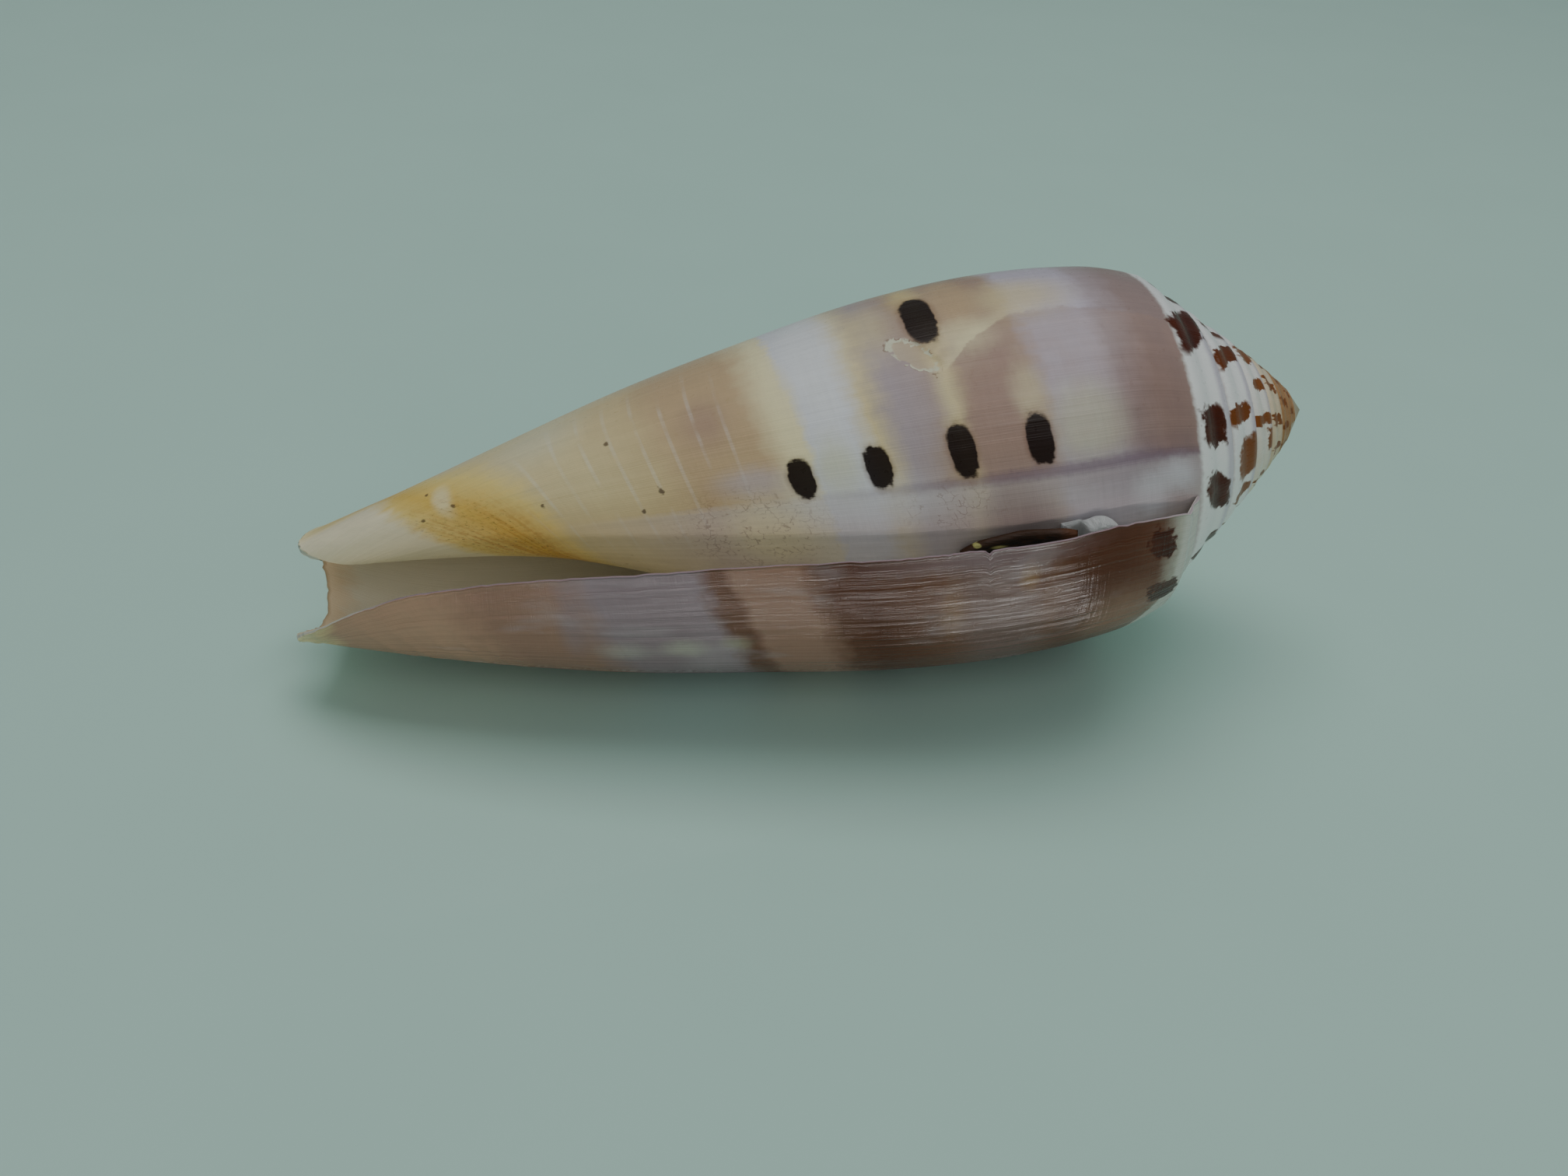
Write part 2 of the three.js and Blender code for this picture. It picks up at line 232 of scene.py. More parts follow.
class Skin:
    """Grids of points with the values g, s, v and inside on each.

    inside is 0 on the outer face, 1 on the inner face and between them across an edge.
    """

    def __init__(self):
        self.points, self.values, self.faces, self.n = [], [], [], 0

    def grid(self, points, g, s, v, inside):
        """Add points, and give their numbers."""
        shape = points.shape[:2]
        self.points.append(points.reshape(-1, 3))
        self.values.append(np.stack(
            [np.broadcast_to(a, shape).ravel() for a in (g, s, v, inside)], 1))
        ids = self.n + np.arange(shape[0] * shape[1]).reshape(shape)
        self.n += ids.size
        return ids

    def quads(self, ids, flip, keep=None):
        """Add the faces of a grid, or those of them to keep."""
        q = np.stack([ids[:-1, :-1], ids[1:, :-1], ids[1:, 1:], ids[:-1, 1:]], -1)
        if flip:
            q = q[..., ::-1]
        q = q.reshape(-1, 4) if keep is None else q[keep]
        self.faces.append(q)

    def mesh(self, name):
        """The mesh: nothing under the floor, and points alike in place and values made one."""
        p, val, q = [np.concatenate(a) for a in (self.points, self.values, self.faces)]
        p[:, 2] = np.maximum(p[:, 2], 0)
        key = np.round(np.concatenate([p / SAME_PLACE, val / SAME_VALUE], 1)).astype(np.int64)
        _, first, back = np.unique(key, axis=0, return_index=True, return_inverse=True)
        p, val, q = p[first], val[first], back.reshape(-1)[q]
        faces = []
        for f in q.tolist():
            f = [a for a, b in zip(f, f[1:] + f[:1]) if a != b]
            if len(f) > 2:
                faces.append(f)
        me = bpy.data.meshes.new(name)
        me.from_pydata((p * MM).tolist(), [], faces)
        for i, n in enumerate(("g", "s", "v", "inside")):
            data = me.attributes.new(n, "FLOAT", "POINT").data
            data.foreach_set("value", val[:, i].astype(np.float32))
        me.shade_smooth()
        me.update()
        ob = bpy.data.objects.new(name, me)
        bpy.context.scene.collection.objects.link(ob)
        return ob


def seam(g, s0):
    """Where the ramp at g starts: on the whorl before, at s0, which shrinks with the whorl."""
    s = s0 * shrink(-(g - 360) / 360, "u") / shrink(1, "u")
    t, u, r = outer(g - 360, s)
    return t + 360, u, r


def ramp(a, b, v, rise):
    """Points at v on the way from a to b, raised by a share of its length."""
    du, dr = b[1] - a[1], b[2] - a[2]
    return a[0] + (b[0] - a[0]) * v, a[1] + du * v - dr * rise, a[2] + dr * v + du * rise


RIDGES = (0.786, 0.806, 0.829, 0.858, 0.893, 0.922)      # s of the ridges at the lip's lower end
RIDGE_HEIGHT, RIDGE_WIDTH, RIDGE_SLOPE = 0.10, 0.0042, 0.00085
LAYERS, LAYER_HEIGHT = 2.5, 0.10                         # torn layers at the lip's tip
FLAKE = (-306.0, 0.298, 6.3, 0.0165, 0.0022)             # g, s, half sizes, slope of s on g
FLAKE_DEPTH, FLAKE_RIM = 0.11, 0.03


def relief(g, s, v):
    """Height of the growth lines, the ridges, the torn layers and the scar over the plain sheet."""
    h = 0.010 * noise(g / 1.6, s * 6, 3) + 0.022 * noise(g / 5.5, s * 3, 4)
    h = h + 0.020 * noise(g / 2.6, s * 5, 5) * ease((g + 60) / 30)
    lip = ease((g + 75) / 25)
    for at in RIDGES:
        broken = 0.6 + 0.4 * noise(g / 4, at * 90, 6)
        h = h + RIDGE_HEIGHT * bell(s - at - RIDGE_SLOPE * (g + 12), RIDGE_WIDTH) * lip * broken
    torn = ease((s - 0.945) / 0.03) * ease((g + 90) / 40)
    layers = np.floor(LAYERS * (1 + noise(g / 7, s * 75, 9))) / LAYERS
    h = h + LAYER_HEIGHT * (layers - 0.8) * torn
    g0, s0, wide, high, slope = FLAKE
    a = (g - g0) / wide + 0.10 * noise(g, s * 200, 16)
    b = (s - s0 - slope * (g - g0)) / high + 0.16 * noise(g, s * 200, 17)
    edge = (a ** 4 + b ** 4) ** 0.25
    h = h - FLAKE_DEPTH * ease((1.05 - edge) / 0.12) + FLAKE_RIM * bell(edge - 1.1, 0.08)
    return h * ease(v / 0.15)


# Where the skin's points lie: across the ramp, down the side, and back along the growth
RAMP_AT = in_rows(0, (0.9, 10), (0.985, 2))
SIDE_AT = in_rows(0, (SUTURE, 2), (SUTURE_INSIDE, 3), (0.14, 10), (0.225, 8), (0.242, 8), (0.262, 3),
                  (0.336, 20), (0.77, 38), (1, 44))
BODY_AT = in_rows(-CAVITY - 360, (-404, 22), (-360, 48), (-262, 128), (-90, 104), (0, 150))
SPIRE_AT = in_rows(-360 * (SPIRE_TURNS + 1), (-360 * SPIRE_TURNS, 120), (-CAVITY - 360, 700))
INNER_AT = in_rows(-CAVITY, (-48, 63), (0, 48))
HEAD = len(RAMP_AT)
SUTURE_ROWS, SEAM_ROWS = 3, 5                # rows down to SUTURE, and those before SUTURE_INSIDE
SEAM_OPEN = -376                             # the next whorl covers the seam before this angle
THIN_SEAM, THIN_SEAM_SPAN = 0.004, 15        # the seam's width at the lip, and how soon it is full
EDGE_STEPS, EDGE_BULGE, LIP_BULGE = 5, 0.12, 0.3
APEX_AT, CORE_DEPTH = 0.15, 12
APEX_G, CORE_G = -2300, -480                 # g of the closing faces, for their colour


def raised(p, height):
    """The points p moved outwards by height, and whether their grid is wound inwards."""
    n = np.cross(np.gradient(p, axis=0), np.gradient(p, axis=1))
    n /= np.linalg.norm(n, axis=2)[..., None] + 1e-12
    out = p - SHIFT - (p - SHIFT) @ AXIS[:, None] * AXIS
    flip = (n * out).sum(2).mean() < 0
    return p + (-n if flip else n) * height[..., None], flip


def outer_face(skin):
    """The last whorl, and the one before it as far as the aperture runs back."""
    g = BODY_AT[:, None]
    ratio = shrink(np.maximum(-g / 360, 1), "u") / shrink(np.array(1.0), "u")
    s = np.where(SIDE_AT <= SUTURE_INSIDE, SIDE_AT * ratio,
                 SIDE_AT + SUTURE_INSIDE * (ratio - 1) * np.clip((0.07 - SIDE_AT) / 0.03, 0, 1))
    top = place(ramp(seam(worn(g, 0)[0], SUTURE), outer(*worn(g, 0)), RAMP_AT, RAMP_RISE(RAMP_AT)))
    side = place(outer(*worn(g, s)))
    p = np.concatenate([top, side], 1)
    g = np.broadcast_to(g, p.shape[:2])
    s = np.concatenate([np.zeros_like(top[..., 0]), np.broadcast_to(s, side.shape[:2])], 1)
    v = np.concatenate([np.broadcast_to(RAMP_AT, top.shape[:2]), np.ones(side.shape[:2])], 1)
    p, flip = raised(p, relief(g, s, v))
    ids = skin.grid(p, g, s, v, 0)
    keep = np.ones((ids.shape[0] - 1, ids.shape[1] - 1), bool)
    seam_steps = np.zeros(ids.shape[1] - 1, bool)
    seam_steps[HEAD + SUTURE_ROWS - 1:HEAD + SEAM_ROWS] = True
    keep[np.ix_(BODY_AT[1:] <= SEAM_OPEN, seam_steps)] = False
    skin.quads(ids, flip, keep)
    return p, s, v, flip


def spire_faces(skin, flip):
    """The older whorls: a strip under each shoulder, the ramps, and the apex."""
    g = SPIRE_AT[:, None]
    s = SIDE_AT[:SUTURE_ROWS] * shrink(-g / 360, "u") / shrink(np.array(1.0), "u")
    strip = place(outer(g, s))
    skin.quads(skin.grid(strip, g, s, 1, 0), flip)
    has_ramp = SPIRE_AT >= -360 * SPIRE_TURNS - 1e-6
    g, v = g[has_ramp], np.append(RAMP_AT, 1)
    top = place(ramp(seam(g, SUTURE), outer(g, 0 * g), v, RAMP_RISE(v)))
    skin.quads(skin.grid(top, g, 0, v, 0), flip)
    ring = strip[:np.argmax(has_ramp) + 1, 0]
    tip = place((0.0, APEX_AT, 0.0))
    cone = np.stack([np.repeat(tip[None], len(ring), 0), ring], 1)
    skin.quads(skin.grid(cone, APEX_G, 0, 1, 0), flip)


def inner_face(skin, flip):
    g = INNER_AT[:, None]
    start = SUTURE + THIN_SEAM + (SUTURE_INSIDE - SUTURE - THIN_SEAM) * ease(-g / THIN_SEAM_SPAN)
    top = place(ramp(seam(worn(g, 0)[0], start), inner(*worn(g, 0)), RAMP_AT, 0 * RAMP_AT))
    p = np.concatenate([top, place(inner(*worn(g, SIDE_AT)))], 1)
    s = np.concatenate([0 * RAMP_AT, SIDE_AT])
    v = np.concatenate([RAMP_AT, np.ones(len(SIDE_AT))])
    skin.quads(skin.grid(p, g, s, v, 1), not flip)
    return p


def rounded_edge(skin, a, b, bulge, g, s, v, flip):
    """An edge from the points a on the outer face to b on the inner face."""
    k = np.linspace(0, 1, EDGE_STEPS + 1)[:, None, None]
    edge = a * (1 - k) + b * k + bulge * np.sin(np.pi * k)
    skin.quads(skin.grid(edge, g, s, v, k[..., 0]), flip)


def closing_faces(skin, outside, inside, flip):
    """The back of the cavity and the underside of the core."""
    wall = outside[0, HEAD:]
    wall = np.concatenate([np.repeat(wall[SEAM_ROWS][None], HEAD + SEAM_ROWS, 0), wall[SEAM_ROWS:]])
    skin.quads(skin.grid(np.stack([wall, inside[0]]), -CAVITY, 0.5, 1, 1), not flip)
    rim = np.concatenate([outside[BODY_AT <= -CAVITY + 1e-6][:, -1], inside[:1, -1]])
    centre = np.repeat(place((0.0, LENGTH - CORE_DEPTH, 0.0))[None], len(rim), 0)
    skin.quads(skin.grid(np.stack([rim, (rim + centre) / 2, centre], 1), CORE_G, 1, 1, 1), flip)


def shell_piece():
    skin = Skin()
    outside, s, v, flip = outer_face(skin)
    spire_faces(skin, flip)
    inside = inner_face(skin, flip)
    # Lip edge
    ahead = place(outer(0.0, SIDE_AT)) - place(outer(-1.0, SIDE_AT))
    ahead = np.concatenate([np.repeat(ahead[:1], HEAD, 0), ahead])
    ahead /= np.linalg.norm(ahead, axis=1)[:, None]
    width = np.linalg.norm(outside[-1] - inside[-1], axis=1)[:, None]
    bulge = ahead * np.minimum(width * LIP_BULGE, EDGE_BULGE)
    rounded_edge(skin, outside[-1], inside[-1], bulge, 0, s[-1], v[-1], not flip)
    # Base edge
    a, b = place(outer(*worn(INNER_AT, 1))), inside[:, -1]
    width = np.linalg.norm(a - b, axis=1)[:, None]
    rounded_edge(skin, a, b, AXIS * width * EDGE_BULGE, INNER_AT, 1, 1, flip)
    closing_faces(skin, outside, inside, flip)
    return skin.mesh("shell_skin")


GAP = 0.3                                    # between the pads and the walls of the aperture
PLATE_THICK, PLATE_BACK = 0.75, -21
WAD_THICK, WAD_BACK, WAD_LUMPS = 1.9, -40, 0.08
TONGUE_THICK, TONGUE_FROM = 0.45, 21.3       # the cotton's end under the plate


def pad_piece(name, us, steps, edge, back, layers, lumps=0.0):
    """A closed pad in the aperture, its rim drawn together.

    It reaches from the angle edge(u) to back, and layers gives the radii of its two faces.
    """
    skin = Skin()
    across = np.linspace(0, 1, steps + 1)
    u = us[:, None]
    t = edge(u) + (back - edge(u)) * across
    u = np.broadcast_to(u, t.shape)
    low, high = layers(u, t)
    row, column = np.indices(t.shape)
    from_rim = np.minimum.reduce([row, len(us) - 1 - row, column, steps - column])
    share = np.choose(np.minimum(from_rim, 2), [0, 0.75, 1])
    mid = (low + high) / 2
    wave = lumps * (noise(u * 2.2, t * 0.6, 7) + 0.6 * noise(u * 6, t * 1.7, 8)) * (from_rim > 0)
    for face, lift in ((low, 0), (high, wave)):
        points = place((t, u, mid + (face - mid) * share + lift))
        skin.quads(skin.grid(points, t, u, across, 0), face is high)
    return skin.mesh(name)


def operculum_piece():
    edge = curve([22.0, 22.9, 24.3, 27, 28.8, 29.7], [-2.6, -1.4, -1.2, -2.3, -4.1, -6.4])

    def layers(u, t):
        wall, lip = aperture_at(t, u)
        low = wall + GAP + 0.75 * ease((26 - u) / 3)
        return low, np.minimum(low + PLATE_THICK, lip - GAP)
    us = in_rows(22.0, (22.3, 3), (29.4, 40), (29.7, 4))
    return pad_piece("operculum_plate", us, 30, edge, PLATE_BACK, layers)


def cotton_piece():
    edge = curve([18.4, 18.9, 19.6, 20.3, 21.2, 22.9], [-9, -5.2, -1.4, -0.2, -0.8, -1.4])

    def layers(u, t):
        wall, lip = aperture_at(t, u)
        low = wall + GAP
        full = np.minimum(lip - GAP, low + WAD_THICK)
        return low, full + (low + TONGUE_THICK - full) * ease((u - TONGUE_FROM) / 0.3)
    us = in_rows(18.4, (18.7, 4), (22.7, 60), (22.9, 3))
    return pad_piece("cotton_wad", us, 60, edge, WAD_BACK, layers, WAD_LUMPS)


# Node helpers: Val wraps a socket, so that sums and products read as formulas
TREE = None


class Val:
    def __init__(self, socket):
        self.socket = socket

    def __add__(self, o): return calc("ADD", self, o)
    def __sub__(self, o): return calc("SUBTRACT", self, o)
    def __mul__(self, o): return calc("MULTIPLY", self, o)
    def __truediv__(self, o): return calc("DIVIDE", self, o)
    def __rsub__(self, o): return calc("SUBTRACT", o, self)
    def __mod__(self, o): return calc("FLOORED_MODULO", self, o)
    __radd__ = __add__
    __rmul__ = __mul__


def node(kind, inputs, out=0, **settings):
    """A new node's output. inputs holds a Val or a constant for each socket."""
    n = TREE.nodes.new("ShaderNode" + kind)
    for k, x in settings.items():
        setattr(n, k, x)
    for k, x in inputs.items():
        if isinstance(x, Val):
            TREE.links.new(x.socket, n.inputs[k])
        elif x is not None:
            n.inputs[k].default_value = x
    return Val(n.outputs[out])


def calc(op, a, b=None):
    return node("Math", {0: a, 1: b}, operation=op)


def most(a, b):
    return calc("MAXIMUM", a, b)


def value(name):
    """A value that the mesh carries."""
    return node("Attribute", {}, 2, attribute_name=name)


def vec(x, y, z=0.0):
    return node("CombineXYZ", {0: x, 1: y, 2: z})


def step(x, a, b):
    """0 at a, 1 at b, smooth between."""
    if a < b:
        return node("MapRange", {0: x, 1: a, 2: b, 3: 0.0, 4: 1.0}, interpolation_type="SMOOTHSTEP")
    return node("MapRange", {0: x, 1: b, 2: a, 3: 1.0, 4: 0.0}, interpolation_type="SMOOTHSTEP")


def within(x, a, b, soft):
    """1 from a to b and 0 outside, with soft ends."""
    return step(x, a - soft / 2, a + soft / 2) * step(x, b + soft / 2, b - soft / 2)


def cloud(v, scale=1.0, detail=2.0, rough=0.5, twist=0.0):
    """Noise from 0 to 1, 0.5 on average."""
    return node("TexNoise", {"Vector": v, "Scale": scale, "Detail": detail, "Roughness": rough,
                             "Distortion": twist})


def lin(c):
    """Linear colour of an sRGB one from 0 to 255."""
    c = [x / 255 for x in c]
    return tuple(x / 12.92 if x <= 0.04 else ((x + 0.055) / 1.055) ** 2.4 for x in c) + (1.0,)


def mix(a, b, f):
    a, b = [lin(c) if isinstance(c, tuple) else c for c in (a, b)]
    return node("Mix", {0: f, 6: a, 7: b}, 2, data_type="RGBA")


def bands(x, stops, lo=0.0, hi=1.0):
    """A colour that follows x through a few points between lo and hi."""
    n = TREE.nodes.new("ShaderNodeValToRGB")
    elements = n.color_ramp.elements
    while len(elements) < len(stops):
        elements.new(0.5)
    for e, (at, c) in zip(elements, stops):
        e.position = (at - lo) / (hi - lo)
        e.color = lin(c) if isinstance(c, tuple) else (c, c, c, 1)
    TREE.links.new(((x - lo) / (hi - lo)).socket, n.inputs[0])
    return Val(n.outputs[0])


def level(x, stops):
    """A number that follows x through a few points."""
    xs, ys = [a for a, _ in stops], [b for _, b in stops]
    lo, hi = min(ys), max(ys)
    v = bands(x, [(a, (b - lo) / (hi - lo)) for a, b in stops], xs[0], xs[-1])
    return v * (hi - lo) + lo


def finish_material(colour, rough, height, bump, sheen, shine):
    """Set the shader: bump is in mm, sheen and shine are constants."""
    b = TREE.nodes["Principled BSDF"]
    TREE.links.new(colour.socket, b.inputs["Base Color"])
    if isinstance(rough, Val):
        TREE.links.new(rough.socket, b.inputs["Roughness"])
    else:
        b.inputs["Roughness"].default_value = rough
    b.inputs["Sheen Weight"].default_value = sheen
    b.inputs["Specular IOR Level"].default_value = shine
    normal = node("Bump", {"Strength": 1.0, "Distance": bump * MM, "Height": height})
    TREE.links.new(normal.socket, b.inputs["Normal"])


def material(name):
    """A new material, into which the nodes made next go."""
    global TREE
    m = bpy.data.materials.new(name)
    m.use_nodes = True
    TREE = m.node_tree
    return m


# Colours of the shell
SPOT, UMBER, CHESTNUT, RUSSET = (24, 10, 9), (88, 38, 18), (94, 56, 40), (106, 70, 54)
COCOA, DUSK, PLUM, DUN = (118, 84, 69), (126, 100, 94), (118, 98, 116), (162, 128, 112)
ROSE, MAUVE, LILAC, TAUPE = (168, 142, 130), (158, 140, 136), (178, 166, 170), (182, 160, 142)
TAN, SAND, BEIGE, FAWN = (200, 176, 142), (214, 196, 154), (224, 210, 166), (190, 154, 132)
ORANGE, OCHRE, GOLD, YELLOW = (194, 142, 80), (200, 158, 96), (228, 196, 114), (236, 216, 146)
LAVENDER, MIST, PEARL, WHITE = (200, 194, 206), (150, 132, 138), (222, 224, 230), (236, 240, 238)
CREAM, IVORY, BONE, CELERY = (240, 232, 190), (244, 236, 212), (196, 194, 182), (218, 220, 196)
SEPIA, AMBER, HONEY, APRICOT = (56, 22, 12), (132, 78, 36), (164, 120, 74), (236, 206, 164)
SPECK, DOT, ASH = (110, 74, 44), (84, 64, 54), (208, 202, 202)
# Those of the operculum with a painted highlight on it, the cotton and the floor
HORN_DARK, HORN, HORN_RIM = (26, 24, 18), (62, 40, 24), (66, 40, 20)
# The second colour on the next line is a painted highlight, not a colour of the horn
HORN_TIP, PAINTED_GLINT = (104, 62, 34), (206, 204, 128)
COTTON_SHADE, COTTON = (232, 238, 234), (252, 254, 252)
FLOOR_SHADE, FLOOR = (190, 226, 213), (194, 230, 217)

# Bands down the side that shows the aperture, and down the back and the lip, by s
FRONT = [
    (0, BONE), (0.012, MAUVE), (0.05, MAUVE), (0.085, LILAC), (0.105, LAVENDER), (0.165, LAVENDER),
    (0.185, TAUPE), (0.205, ROSE), (0.25, TAUPE), (0.27, SAND), (0.29, TAUPE), (0.33, LILAC),
    (0.36, BEIGE), (0.385, PEARL), (0.43, PEARL), (0.438, CREAM), (0.450, CREAM), (0.485, TAN),
    (0.56, TAN), (0.60, SAND), (0.67, BEIGE), (0.72, BEIGE), (0.75, YELLOW), (0.80, GOLD),
    (0.845, YELLOW), (0.88, YELLOW), (0.94, CREAM), (1.0, SAND)]
BACK = [
    (0, BONE), (0.006, BONE), (0.038, RUSSET), (0.08, CHESTNUT), (0.13, CHESTNUT), (0.17, COCOA),
    (0.20, DUSK), (0.25, DUSK), (0.29, COCOA), (0.33, RUSSET), (0.37, CHESTNUT), (0.405, RUSSET),
    (0.44, DUN), (0.50, DUN), (0.515, COCOA), (0.530, COCOA), (0.552, MIST), (0.61, MIST),
    (0.66, MIST), (0.71, DUN), (0.78, DUN), (0.84, FAWN), (0.95, FAWN), (0.975, SAND), (1, CREAM)]
# How far down the bands drift, by g, and how the threads lean, by s
DRIFT = [(-400, -0.01), (-330, 0.0), (-280, 0.013), (-180, 0.075), (-75, 0.15), (0, 0.215)]
BACK_DRIFT = 0.212
LEANING = [(0.45, 0.0), (0.7, 0.0003), (0.84, 0.0018), (1.0, 0.0012)]
# Lower limit of the white shoulder, by g, and the scar's curved line: g by s
BRIM = [(-400, 0.008), (-300, 0.008), (-240, 0.018), (-60, 0.055), (-30, 0.014), (0, 0.006)]
HOOK = [(0.0, -303), (0.04, -302), (0.083, -300), (0.125, -297.5), (0.183, -298), (0.208, -301.7),
        (0.227, -304), (0.246, -308), (0.262, -312), (0.30, -316)]
# Dark spots on the side: g, s, half sizes
SIDE_SPOTS = [(-336, 0.1915, 7.0, 0.0140), (-336.5, 0.2755, 7.3, 0.0136), (-338, 0.3675, 6.4, 0.0130),
              (-338.4, 0.450, 6.3, 0.0130), (-291.5, 0.2785, 11.4, 0.0170)]
# Blotches of the shoulder and the ramps: g, place across ramp and side in mm, half sizes, and skew
# in degrees per mm; then the even row where no blotch shows in the photo
BLOTCHES = [
    (-364.5, 2.75, 8.0, 1.95, -2.4), (-337.8, 3.1, 6.8, 2.05, 0.0), (-301, 3.0, 9.0, 2.4, 3.0),
    (-74, 5.2, 6.0, 1.7, 0.0), (-63, 5.3, 5.0, 1.6, 0.0), (-29.5, 6.3, 5.2, 1.15, 0.0),
    (-7.5, 7.0, 5.0, 0.85, 0.0), (-718, 2.0, 12, 2.6, 0.4), (-694.5, 3.5, 4.4, 2.1, 1.2),
    (-665, 3.2, 5.4, 2.4, 3.2), (-1076, 0.8, 10, 1.2, 0.0), (-1059.5, 3.2, 4.0, 3.0, 0.0),
    (-1036, 2.9, 4.2, 1.9, 0.8), (-1010, 3.0, 10, 2.0, 2.0)]
ROW_START, ROW_STEP, ROW_AT, ROW_SIZE = -322.5, 31.0, 3.1, (0.19, 1.9)
# Small pits
DOTS = [(-335.6, 0.601), (-343, 0.628), (-309.6, 0.640), (-332.5, 0.730), (-316.4, 0.8215),
        (-298, 0.848), (-318.4, 0.862)]
DOT_SIZE = (1.2, 0.0026)
# Soft patches over the bands: g, s, half sizes, softness, colour, share
FRONT_PATCHES = [
    (-334, 0.132, 11, 0.040, 0.5, CELERY, 0.75), (-324, 0.192, 8, 0.018, 0.7, CREAM, 0.6),
    (-290, 0.170, 9, 0.050, 0.8, BEIGE, 0.7), (-334, 0.234, 17, 0.028, 0.35, ROSE, 0.9),
    (-284, 0.238, 17, 0.026, 0.6, TAN, 0.8), (-319, 0.276, 11, 0.011, 0.8, CREAM, 0.4),
    (-303, 0.236, 6, 0.030, 0.7, CREAM, 0.6), (-276, 0.288, 12, 0.016, 0.8, YELLOW, 0.35),
    (-322, 0.315, 17, 0.027, 0.7, LILAC, 0.7), (-290, 0.335, 13, 0.022, 0.8, BEIGE, 0.6),
    (-290, 0.405, 40, 0.034, 0.6, WHITE, 0.6), (-338, 0.410, 10, 0.022, 0.7, CELERY, 0.8),
    (-316, 0.446, 17, 0.015, 0.6, CREAM, 0.7), (-313, 0.532, 9, 0.022, 0.9, ROSE, 0.6),
    (-338, 0.500, 5, 0.035, 0.8, LAVENDER, 0.5), (-309, 0.832, 12, 0.010, 0.6, CREAM, 0.8),
    (-290, 0.720, 16, 0.045, 0.8, CELERY, 0.5), (-334, 0.050, 20, 0.050, 0.7, DUSK, 0.5)]
CALLUS_PATCHES = [
    (-357, 0.230, 13, 0.035, 0.7, MAUVE, 0.65), (-347, 0.140, 5, 0.055, 0.8, LILAC, 0.8),
    (-349, 0.400, 8, 0.075, 0.8, PEARL, 0.6), (-358, 0.500, 13, 0.045, 0.7, CREAM, 0.6),
    (-350, 0.060, 8, 0.060, 0.8, PLUM, 0.35), (-352, 0.040, 5, 0.020, 0.8, PEARL, 0.6),
    (-358, 0.074, 7, 0.022, 0.7, PEARL, 0.7)]
LIP_PATCHES = [
    (-38, 0.075, 14, 0.045, 0.8, FAWN, 0.45), (-42, 0.540, 13, 0.028, 0.8, LILAC, 0.5),
    (-30, 0.513, 3.5, 0.014, 0.9, CELERY, 0.3), (-33, 0.572, 4.5, 0.022, 0.9, CELERY, 0.35),
    (-35, 0.637, 5.0, 0.024, 0.9, BONE, 0.4), (-22, 0.690, 14, 0.012, 0.9, MIST, 0.6),
    (-9, 0.190, 4, 0.010, 0.8, OCHRE, 0.25), (-20, 0.275, 9, 0.012, 0.8, OCHRE, 0.12),
    (-7, 0.395, 9, 0.030, 0.8, CHESTNUT, 0.7), (-2, 0.250, 3, 0.10, 0.9, MIST, 0.5)]


def oval(at, g0, s0, wg, ws, soft):
    """1 in an oval round g0, s0 and 0 outside it; at holds g and s."""
    d = node("VectorMath", {0: at, 1: (1 / wg, 1 / ws, 0), 2: (-g0 / wg, -s0 / ws, 0)}, 0,
             operation="MULTIPLY_ADD")
    return step(node("VectorMath", {0: d}, 1, operation="LENGTH"), 1 + soft, 1 - soft)


def patch(x, y, x0, y0, wx, wy, soft):
    """1 in an oval with square shoulders and 0 outside it."""
    a, b = (x - x0) / wx, (y - y0) / wy
    a, b = a * a, b * b
    return step(a * a + b * b, 1 + soft, 1 - soft)


def join(masks):
    """Where any of the masks is."""
    out = masks[0]
    for m in masks[1:]:
        out = most(out, m)
    return out


